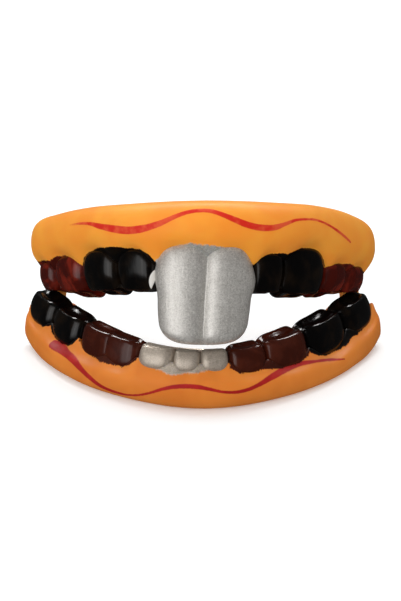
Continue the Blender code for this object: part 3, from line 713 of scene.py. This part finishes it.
def gum_rings(arch, rows, end_rise, collar_out, fullness, tongue_drop, marks, necks, papillae):
    """Rings of along, out and up round the gum at every station. Past the arch's end each ring
    shrinks to its middle by the square root of (1 - x squared), a quarter round."""
    along = gum_stations(arch)
    rim, bulge, thick = read_rows(rows, along / arch.half_row)
    neck, near = gum_line(marks, necks, papillae, along)
    neck = neck + end_rise * ease((np.abs(along) - arch.half_row + 2.5) / 4.0)
    level = blurred(neck, np.ptp(along) / len(along), LEVEL_BLUR)
    flank = level - rim
    collar = collar_out - 0.75 * near
    sideways = np.abs(along) / arch.half_row
    tongue = level + 0.3 - tongue_drop * ease((sideways - 0.4) / 0.45)
    fuller = fullness * ease((sideways - 0.15) / 0.4)
    roof = level - ROOF_BELOW - WALL
    past = ease((arch.end - np.abs(along) - WALL) / 1.6)
    tuck = -0.1 * bulge
    rear = -thick - 0.22 * bulge

    def inner(height):
        """A height in the channel, which comes down to the rim at the closed ends."""
        return rim + (height - rim) * past

    lip_side = [
        (tuck - WALL * 0.5, rim), (tuck, rim), ((0.62 + fuller) * bulge, rim + 0.05 * flank),
        ((1.0 + 0.5 * fuller) * bulge, rim + 0.24 * flank), (1.1 * bulge, rim + 0.48 * flank),
        (0.98 * bulge, rim + 0.70 * flank),
        (0.5 * (collar + 0.95 * bulge), 0.45 * neck + 0.55 * level - 1.3),
    ]
    collar_and_trough = [
        (collar + 0.25, neck - 0.45), (collar, neck - 0.02), (collar - 0.35, neck + 0.05),
        (collar - 0.75, neck - 0.5), (-2.4, neck - 1.1),
        (-0.5 * thick, 0.5 * (level + tongue) - 1.2),
    ]
    tongue_side = [
        (1.9 - thick, tongue - 1.0), (0.75 - thick, tongue - 0.4), (0.3 - thick, tongue + 0.08),
        (-0.25 - thick, tongue - 0.25), (-thick - 0.4 * bulge, rim + 0.6 * flank),
        (-thick - 0.38 * bulge, rim + 0.25 * flank), (rear, rim), (rear + WALL * 0.5, rim),
    ]
    channel = [
        (rear + WALL, rim), (WALL + 0.1 - thick, inner(rim + 0.45 * flank)),
        (WALL + 0.7 - thick, inner(roof)), (-0.5 * thick, inner(roof)), (-1.7, inner(roof)),
        (bulge - WALL - 0.1, inner(rim + 0.45 * flank)), (tuck - WALL, rim),
    ]
    controls = lip_side + collar_and_trough + tongue_side + channel
    out = np.stack([np.broadcast_to(c[0], along.shape) for c in controls])
    up = np.stack([np.broadcast_to(c[1], along.shape) for c in controls])
    weights = loop_weights(len(controls), GUM_AROUND)
    out, up = (weights @ out).T, (weights @ up).T
    gone = np.clip((np.abs(along) - arch.end + END_ROUNDING) / END_ROUNDING, 0.0, 1.0)
    keep = np.sqrt(1.0 - gone ** 2)[:, None]
    centre_out, centre_up = -0.45 * thick[:, None], (rim + 0.5 * flank)[:, None]
    out = centre_out + (out - centre_out) * (0.25 + 0.75 * keep)
    up = centre_up + (up - centre_up) * (0.25 + 0.75 * keep)
    return along[:, None] + 0.0 * out, out, up


print("gum rings", len(gum_stations(lower_arch)), "of", GUM_AROUND, "points")

# %% [markdown]
# Paint is kept as a field: at each point of the mesh, how many millimetres it lies inside the
# painted area. Separate faces for each paint would show their corners, but a shader can draw the
# line of such a field as sharp, as soft or as ragged as the real edge is.

# %% Paint fields
TONGUE_SIDE = -4.0
TONGUE_PAINT = 0.5
BARE = -9.0


def paint_distance(stretches, along, out, up):
    """Millimetres inside a paint's edge, less than zero outside it: the least of the height
    above the edge and the distance to the stretch's two ends. On the tongue side paint runs a
    little further down. The channel stays bare."""
    best = np.full(along.shape, BARE)
    for stretch in stretches:
        knots = np.array(stretch)
        edge = np.interp(along, knots[:, 0], knots[:, 1])
        edge = np.where(out < TONGUE_SIDE, edge - TONGUE_PAINT, edge)
        inside = np.minimum(along - knots[0, 0], knots[-1, 0] - along) + 0.15
        best = np.maximum(best, np.minimum(up - edge, inside))
    best[:, int(OUTER_SHARE * GUM_AROUND):] = BARE
    return best


def vein_distance(route, along, up):
    """Millimetres inside the brushed vein: half its width less the height from its middle,
    taken square to the stroke by the route's slope. Its two ends are round."""
    middle, width = read_rows(route, along.ravel()).reshape(2, *along.shape)
    first, last = route[0][0], route[-1][0]
    slope = (read_rows(route, along.ravel() + 0.2)[0].reshape(along.shape) - middle) / 0.2
    past = np.maximum(np.maximum(first - along, along - last) + 0.5 * width, 0.0)
    distance = 0.5 * width - np.hypot((up - middle) / np.hypot(1.0, slope), past)
    distance[:, int(LIP_SHARE * GUM_AROUND):] = BARE
    return distance


def make_gum(name, arch, material, paint, vein, *tables):
    """A finished gum: its rings put in place on the arch, with the paint fields as facts."""
    along, out, up = gum_rings(arch, *tables)
    facts = {"place": np.stack([along, out, up], -1), "vein": vein_distance(vein, along, up)}
    for colour_name, stretches in paint.items():
        facts[colour_name] = paint_distance(stretches, along, out, up)
    mesh = tube_mesh(name + "_vinyl", arch.place(along, out, up), facts)
    return add_piece(mesh, material, "gum_vinyl", name)


# %% [markdown]
# A red vein is brushed along each gum in one wavy stroke that swells and thins. Its route is a
# table of along, up from the rim and width, all in millimetres, and a cubic through the rows
# keeps corners out of it.

# %% Veins and the two gums
UPPER_VEIN = (
    (-28.6, 4.65, 0.25), (-25.1, 4.35, 0.45), (-22.0, 4.45, 0.65), (-19.3, 4.95, 1.02),
    (-16.8, 5.35, 1.27), (-14.5, 5.67, 1.38), (-12.3, 5.78, 1.38), (-10.3, 5.6, 1.33),
    (-8.5, 5.2, 1.18), (-6.7, 4.6, 1.00), (-5.1, 3.85, 0.84), (-3.5, 3.1, 0.78),
    (-2.0, 2.6, 0.69), (-0.5, 2.4, 0.65), (1.1, 2.47, 0.69), (3.4, 3.3, 0.91),
    (4.9, 4.0, 1.05), (6.5, 4.7, 1.15), (8.3, 5.2, 1.18), (10.1, 5.4, 1.18), (12.0, 5.3, 1.05),
    (14.3, 4.65, 0.73), (16.6, 3.95, 0.55), (19.1, 3.68, 0.45), (21.8, 3.73, 0.45),
    (24.7, 4.3, 0.45), (27.7, 5.27, 0.51), (31.1, 6.65, 0.55), (33.4, 7.7, 0.40),
)
LOWER_VEIN = (
    (-34.9, 4.6, 0.95), (-33.8, 4.6, 1.13), (-32.5, 4.62, 1.16), (-30.5, 4.75, 1.18),
    (-27.2, 4.58, 1.16), (-24.2, 3.86, 1.09), (-21.4, 2.95, 0.91), (-18.5, 2.0, 0.76),
    (-15.8, 1.66, 0.62), (-13.1, 1.72, 0.47), (-11.0, 2.2, 0.45), (-8.5, 3.3, 0.49),
    (-6.4, 4.4, 0.58), (-4.4, 5.1, 0.73), (-2.4, 5.35, 0.80), (-0.5, 5.25, 0.76),
    (1.1, 4.88, 0.62), (3.4, 4.2, 0.55), (5.4, 3.98, 0.62), (7.5, 4.2, 0.73), (9.4, 4.7, 0.78),
    (11.4, 5.25, 0.91), (13.9, 5.65, 0.98), (16.6, 5.7, 0.91), (19.6, 5.6, 0.69),
    (22.4, 5.2, 0.44), (26.4, 4.2, 0.36), (30.0, 3.3, 0.25),
)
lower_gum = make_gum("lower_gum", lower_arch, shaded_lower_vinyl, LOWER_PAINT, LOWER_VEIN, LOWER_GUM,
                     LOWER_END_RISE, LOWER_COLLAR, LOWER_FULLNESS, LOWER_TONGUE_DROP,
                     LOWER_MARKS, LOWER_NECKS, LOWER_PAPILLAE)
upper_gum = make_gum("upper_gum", upper_arch, upper_vinyl, UPPER_PAINT, UPPER_VEIN, UPPER_GUM,
                     UPPER_END_RISE, UPPER_COLLAR, UPPER_FULLNESS, UPPER_TONGUE_DROP,
                     UPPER_MARKS, UPPER_NECKS, UPPER_PAPILLAE)
print("gum faces", len(lower_gum.data.polygons), len(upper_gum.data.polygons))

# %% [markdown]
# The crowns. Each is one closed surface: a profile that goes up the lip side, over the bite,
# down the tongue side and back underneath, carried from one neighbour to the next. Towards its
# two ends it draws in by a superellipse, (1 - x to the n) to the 1 / n, which is a box with round
# corners. A plain ellipse would look like a bead, and a bevelled box like a brick. The bottom
# hangs a little way into the gum's trough, so that no gap shows round the neck.

# %% Crown rings
CROWN_STATIONS = 84
CROWN_AROUND = 112
OVERLAP = 0.1                  # mm, how far neighbours run into each other
PLAN_POWER, HEIGHT_POWER = 3.6, 5.0    # how square a crown's ends are, from above and in front
ARCHING = 0.75                 # share of the gum line's rise that the neck follows
LOWER_FOOT, UPPER_FOOT = 0.36, 0.0     # mm
ROOT_DEPTH = 1.6
PIT_LENGTH, PIT_WIDTH, PIT_MIDDLE, PIT_POWER = 0.60, 0.34, 0.52, 1.6      # shares of the bite


def crown_rings(row, foot, thick_at, neck_at):
    """Rings of one crown. Across it runs from -1 to 1, closer together near the ends; the
    profile shrinks there by (1 - across to a power) to 1 / power, faster outwards than up.
    Its neck follows most of the gum line's rise, so that the shell is round at the root. The
    foot is how far the shell runs down over the gum's shoulder. The pit is pressed down by
    e to the minus (squared distance from its middle, in its half sizes) to a power."""
    even = np.linspace(-1.0, 1.0, CROWN_STATIONS + 2)[1:-1]
    across = np.sign(even) * (1.0 - (1.0 - np.abs(even)) ** 2.6)
    middle = (row["start"] + row["stop"]) / 2.0
    half = (row["stop"] - row["start"]) / 2.0 + OVERLAP
    thick = thick_at(middle + across * half)
    top = row["top"]
    neck = row["neck"] + ARCHING * np.maximum(neck_at(middle + across * half) - row["neck"], 0.0)
    crown = top - neck
    rear_root = row["neck"] - 0.7
    rear_height = top - rear_root
    edge = row["edge"] * thick
    belly, slant = row["belly"], row["slant"]
    lip_side = [
        (-0.2, neck - 1.1 - foot), (0.15 + 0.9 * foot, neck - 0.6 - foot),
        (0.85 + 1.1 * foot, neck - 0.15 - foot),
        (0.80 + 0.3 * belly + 0.7 * foot, neck + 0.22 * crown - 0.5 * foot),
        (0.62 + 0.3 * belly, neck + 0.58 * crown - 0.4 * slant), (0.26, neck + 0.86 * crown - slant),
    ]
    bite = [
        (-0.22, top + 0.04 - slant), (-0.85, top + 0.16 - 0.9 * slant),
        (-0.22 * edge - 0.5, top - 0.6 * slant), (-0.5 * edge, top - 0.02 - 0.3 * slant),
        (-0.78 * edge, top + 0.02), (-edge + 0.15, top + 0.10), (-edge - 0.35, top - 0.15),
    ]
    tongue_side_and_root = [
        (-0.85 * edge - 0.15 * thick, rear_root + 0.5 * rear_height),
        (0.5 - thick, rear_root + 0.05 * rear_height), (0.9 - thick, rear_root - 0.4),
        (-0.75 * thick, neck - 1.1), (-0.4 * thick, neck - 1.2),
    ]
    controls = lip_side + bite + tongue_side_and_root
    out = np.stack([np.broadcast_to(c[0], across.shape) for c in controls])
    up = np.stack([np.broadcast_to(c[1], across.shape) for c in controls])
    weights = loop_weights(len(controls), CROWN_AROUND)
    out, up = (weights @ out).T, (weights @ up).T
    over = ease((up - (neck + 0.75 * crown)[:, None]) / (0.2 * crown)[:, None])
    wide = edge[:, None]
    inside = (across[:, None] / PIT_LENGTH) ** 2 + ((out + PIT_MIDDLE * wide) / (PIT_WIDTH * wide)) ** 2
    up = up - row["pit"] * over * np.exp(-inside ** PIT_POWER)
    plan = (1.0 - np.abs(across) ** PLAN_POWER)[:, None] ** (1.0 / PLAN_POWER)
    rise = (1.0 - np.abs(across) ** HEIGHT_POWER)[:, None] ** (1.0 / HEIGHT_POWER)
    centre = -0.5 * thick[:, None]
    out = centre + (out - centre) * plan
    root = neck[:, None] - ROOT_DEPTH - foot
    up = root + (up - root) * rise
    return middle + across[:, None] * half + 0.0 * out, out, up


def thickness_of(arch, rows):
    """The gum's thickness at a place along it, which the crowns on it take too."""
    return lambda along: read_rows(rows, np.clip(along / arch.half_row, -1.05, 1.05))[2]


def make_crowns(arch, crowns, foot, gum_rows, marks, necks, papillae):
    """One piece for each row of the table, and the number of faces in all."""
    faces = 0
    for values in crowns:
        row = dict(zip(CROWN_COLUMNS, values))
        along, out, up = crown_rings(row, foot, thickness_of(arch, gum_rows),
                                     lambda at: gum_line(marks, necks, papillae, at)[0])
        facts = {"place": np.stack([along, out, up], -1)}
        if row["name"] == DABBED:
            facts["dab_and_highlight"] = np.where(out > -1.5, dab_and_highlight_distance(along, up), -1.0)
        mesh = tube_mesh(row["name"] + "_crown", arch.place(along, out, up), facts)
        add_piece(mesh, *FINISHES[row["finish"]], row["name"])
        faces += len(mesh.polygons)
    return faces


# %% [markdown]
# Beside the long pair the silver brush slipped onto the black crown. The slip is a leaning
# sickle, a field like the other paint edges: half its width less the distance from its middle.
# It takes the lightest silver tone, with no metal, so it is silver paint and a painted highlight on it.

# %% The two rows of crowns
DABBED = "upper_04_canine"
DAB_MIDDLE, DAB_HALF_LENGTH, DAB_HALF_WIDTH = 14.5, 1.9, 0.45      # mm up, and its size
DAB_LEAN = 0.27


def dab_and_highlight_distance(along, up):
    """Millimetres inside the slip. Its half width is an arch of the height, 1 - x squared."""
    middle = -9.3 - DAB_LEAN * (up - 12.9)
    half_width = DAB_HALF_WIDTH * (1.0 - ((up - DAB_MIDDLE) / DAB_HALF_LENGTH) ** 2)
    return half_width - np.abs(along - middle)


lower_faces = make_crowns(lower_arch, LOWER_CROWNS, LOWER_FOOT, LOWER_GUM,
                          LOWER_MARKS, LOWER_NECKS, LOWER_PAPILLAE)
upper_faces = make_crowns(upper_arch, UPPER_CROWNS, UPPER_FOOT, UPPER_GUM,
                          UPPER_MARKS, UPPER_NECKS, UPPER_PAPILLAE)
print("crown faces", lower_faces, upper_faces)

# %% [markdown]
# The long front pair is fused into one plate with two swelling lobes and a leaning groove, and
# hangs down in front of the lower row. It could be two crowns pushed together, but the groove is
# shallow and its bottom is smooth, so one profile is carried from side to side, and the lobes
# and the groove are added to its front alone. Its back stays plain, and its two side lines come
# from a table, because the pair is widest below the neck and narrows towards the tip.

# %% Buck teeth
BUCK_STATIONS = 150
BUCK_AROUND = 200
BUCK_MIDDLE = 0.3              # mm along
BUCK_BASE, BUCK_TIP = 8.0, 26.1        # mm up
# Half widths to the viewer's left and right, against up
BUCK_SIDES = (
    (8.0, 8.8, 8.6), (11.5, 9.4, 9.2), (13.0, 9.7, 9.7), (14.8, 9.6, 10.0), (16.2, 9.3, 9.7),
    (17.4, 9.15, 9.2), (20.0, 9.1, 8.8), (23.0, 8.9, 8.4), (26.2, 8.5, 8.0),
)
# Out in mm and share of the length, from the neck down the front, round the tip and up the back
BUCK_PROFILE = (
    (-0.9, 0.00), (0.25, 0.01), (0.85, 0.05), (1.10, 0.13), (1.24, 0.24), (1.3, 0.38), (1.3, 0.52),
    (1.25, 0.64), (1.12, 0.76), (1.08, 0.86), (0.95, 0.94), (0.2, 0.995), (-0.7, 1.01), (-1.5, 0.985),
    (-2.1, 0.90), (-2.4, 0.75), (-2.7, 0.6), (-3.6, 0.50), (-5.6, 0.42), (-6.6, 0.3),
    (-6.9, 0.12), (-6.6, -0.02), (-4.0, -0.05), (-2.0, -0.04),
)
BUCK_NECK_ARCH = 1.4           # mm, how far the neck line dips over each lobe
BUCK_CORE = -2.2               # mm out, the line that both sides round off to
TIP_ROUNDING, TIP_POWER, SIDE_POWER = 5.2, 2.9, 5.0
GROOVE_WIDTH, GROOVE_DEPTH, LOBE_SWELL = 0.085, 0.5, 1.05


def buck_rings():
    """Rings of the long pair. Each is the same profile of out and share of the length; the
    front then swells in two lobes with a leaning groove between, the tip rounds off by a
    superellipse in up, and the sides by one in out."""
    even = np.linspace(-1.0, 1.0, BUCK_STATIONS + 2)[1:-1]
    side = (np.sign(even) * (1.0 - (1.0 - np.abs(even)) ** 1.7))[:, None]
    weights = loop_weights(len(BUCK_PROFILE), BUCK_AROUND)
    out, share = (weights @ np.array(BUCK_PROFILE)).T[:, None, :] + 0.0 * side
    front = ease((out + 1.9) / 1.4)
    lean = 0.060 - 0.11 * share
    valley = np.exp(-np.abs((side - lean) / GROOVE_WIDTH) ** 1.4)
    lobe = np.clip(np.where(side < lean, (side + 1) / (lean + 1), (side - 1) / (lean - 1)), 0, 1)
    swell = 1.0 - np.abs(2.0 * lobe - 1.0) ** 2.2
    out = out + front * (LOBE_SWELL * swell - 0.6 - GROOVE_DEPTH * valley)
    up = BUCK_BASE + share * (BUCK_TIP - BUCK_BASE)
    up = up + BUCK_NECK_ARCH * (1.0 - swell) * np.clip(1.0 - share, 0.0, 1.0) ** 4
    bend = BUCK_TIP - TIP_ROUNDING
    tip = (1.0 - np.abs(side) ** TIP_POWER) ** (1.0 / TIP_POWER)
    up = np.where(up > bend, bend + (up - bend) * tip, up)
    flat = (1.0 - np.abs(side) ** SIDE_POWER) ** (1.0 / SIDE_POWER)
    out = BUCK_CORE + (out - BUCK_CORE) * flat
    left, right = read_rows(BUCK_SIDES, up.ravel()).reshape(2, *up.shape)
    return BUCK_MIDDLE + np.where(side < 0, side * left, side * right), out, up


along, out, up = buck_rings()
mesh = tube_mesh("buck_teeth_pair", upper_arch.place(along, out, up),
                 {"place": np.stack([along, out, up], -1)})
add_piece(mesh, *FINISHES["silver"], "buck_teeth")
print("long pair", len(mesh.polygons), "faces")

# %% [markdown]
# The hinge webs are plain straps of vinyl behind the last molars. On the real set they hold the
# two gums apart and bend like a spring when it is bitten shut. Each is a rounded bar from one
# gum's end to the other's, a little narrower half way, where soft vinyl under tension draws in.

# %% Hinge webs
WEB_SAMPLES, WEB_AROUND = 40, 48
WEB_HALF_WIDTH, WEB_HALF_DEPTH = 2.4, 1.0
WEB_OUT = -4.8                 # mm from the biting edges' curve, towards the tongue
WEB_WAIST = 0.2
WEB_SQUARENESS = 0.7
WEB_INTO_GUM = 0.6
LOWER_HOLD, UPPER_HOLD = 6.0, 9.5      # mm up from each rim


def web_rings(side):
    """Rings of a rounded strap: a superellipse, cosine and sine each to a power, carried
    from one gum's end to the other's by a smooth step."""
    travel = np.linspace(0.0, 1.0, WEB_SAMPLES)[:, None]
    angle = np.linspace(0.0, 2.0 * math.pi, WEB_AROUND, endpoint=False)[None, :]
    depth = np.sign(np.cos(angle)) * np.abs(np.cos(angle)) ** WEB_SQUARENESS * WEB_HALF_DEPTH
    width = np.sign(np.sin(angle)) * np.abs(np.sin(angle)) ** WEB_SQUARENESS * WEB_HALF_WIDTH
    out = WEB_OUT + width * (1 - WEB_WAIST * np.sin(math.pi * travel))
    low = lower_arch.place(side * (lower_arch.end - WEB_INTO_GUM + depth), out, LOWER_HOLD + 0 * depth)
    high = upper_arch.place(side * (upper_arch.end - WEB_INTO_GUM + depth), out, UPPER_HOLD + 0 * depth)
    share = ease(travel)[..., None]
    return low * (1 - share) + high * share


web_vinyl, tree, shader = new_finish("web_vinyl", Roughness=0.5, Subsurface_Weight=0.12,
                                     Subsurface_Scale=0.0012)
skin = use_group(tree, vinyl_skin, Place=object_place(tree))
tree.links.new(mixed(tree, skin["Cloud"], UPPER_DEEP, UPPER_LIGHT), shader["Base Color"])

for side, name in ((-1, "left_hinge_web"), (1, "right_hinge_web")):
    web = add_piece(tube_mesh(name + "_strap", web_rings(side), {}), web_vinyl, "gum_vinyl", name)
    print(web.name, len(web.data.polygons), "faces")

# %% [markdown]
# The floor is plain and white. It glows a little, so that it stays white where the set doesn't
# shade it. It neither lights the pieces nor shows in their gloss, because a white floor that
# near would turn the black enamel grey.

# %% Floor
FLOOR = 3.0
mesh = bpy.data.meshes.new("studio_floor")
corners = [(-FLOOR, -FLOOR, 0), (FLOOR, -FLOOR, 0), (FLOOR, FLOOR, 0), (-FLOOR, FLOOR, 0)]
mesh.from_pydata(corners, [], [(0, 1, 2, 3)])
floor = bpy.data.objects.new("studio_floor", mesh)
bpy.context.scene.collection.objects.link(floor)
floor.visible_glossy = False
floor.visible_diffuse = False
floor_paint, tree, shader = new_finish("studio_white", Roughness=0.8, Specular_IOR_Level=0.1,
                                       Emission_Strength=0.19)
shader["Emission Color"].default_value = (1.0, 1.0, 1.0, 1.0)
tree.links.new(mixed(tree, noise(tree, object_place(tree), 3.0), (0.91, 0.95, 0.96, 1),
                     (0.92, 0.96, 0.97, 1)), shader["Base Color"])
mesh.materials.append(floor_paint)
print("floor", 2 * FLOOR, "m wide")

# %% [markdown]
# Soft light. Glossy paint shows whatever is round it, and round a table in a studio most of that
# is dark. So two large boxes light the vinyl without being mirrored, the sky is almost dark to
# mirrored rays, and three panels that are only mirrored draw the highlights: a long one above
# and behind for the biting edges, and two on the left for the bands on the crowns and the
# silver. Strengths are in watts, places and sizes in metres.

# %% Lights
def soft_box(name, place, size, power, mirrored_only=False):
    """A square lamp aimed at the set. A panel that is only mirrored draws a highlight where a
    glossy form turns towards it, and leaves the light on the vinyl as it is."""
    lamp = bpy.data.lights.new(name, "AREA")
    lamp.shape = "RECTANGLE"
    lamp.size, lamp.size_y = size
    lamp.energy = power
    box = bpy.data.objects.new(name, lamp)
    box.location = place
    box.rotation_euler = (Vector(place) - looks_at).to_track_quat("Z", "Y").to_euler()
    box.visible_diffuse = not mirrored_only
    box.visible_glossy = mirrored_only
    bpy.context.scene.collection.objects.link(box)


soft_box("top_box", (0.0, 0.28, 0.76), (0.7, 0.5), 3.0)
soft_box("front_box", (-0.20, -0.65, 0.30), (0.5, 0.4), 2.6)
soft_box("top_panel", (0.0, 0.32, 0.62), (1.2, 0.13), 15.0, mirrored_only=True)
soft_box("left_panel", (-0.60, -0.36, 0.14), (0.35, 0.50), 0.9, mirrored_only=True)
soft_box("front_panel", (-0.42, -0.62, 0.16), (0.45, 0.50), 1.3, mirrored_only=True)

SKY, SKY_BELOW, SKY_MIRRORED = 0.60, 0.42, 0.04
world = bpy.data.worlds.new("studio")
world.use_nodes = True
tree = world.node_tree
mirrored = put(tree, "LightPath", output=3)
height = put(tree, "SeparateXYZ", put(tree, "TexCoord"), output=2)
from_sky = ramp(tree, height, -0.2, 0.2, SKY_BELOW, SKY)
strength = sums(tree, "ADD", sums(tree, "MULTIPLY", from_sky, sums(tree, "SUBTRACT", 1.0, mirrored)),
                sums(tree, "MULTIPLY", mirrored, SKY_MIRRORED))
sky = tree.nodes["Background"].inputs
sky["Color"].default_value = (1.0, 1.0, 1.0, 1.0)
tree.links.new(strength, sky["Strength"])
bpy.context.scene.world = world
bpy.context.scene.view_settings.view_transform = "Standard"
print("lamps", len(bpy.data.lights), "and a sky of strength", SKY)
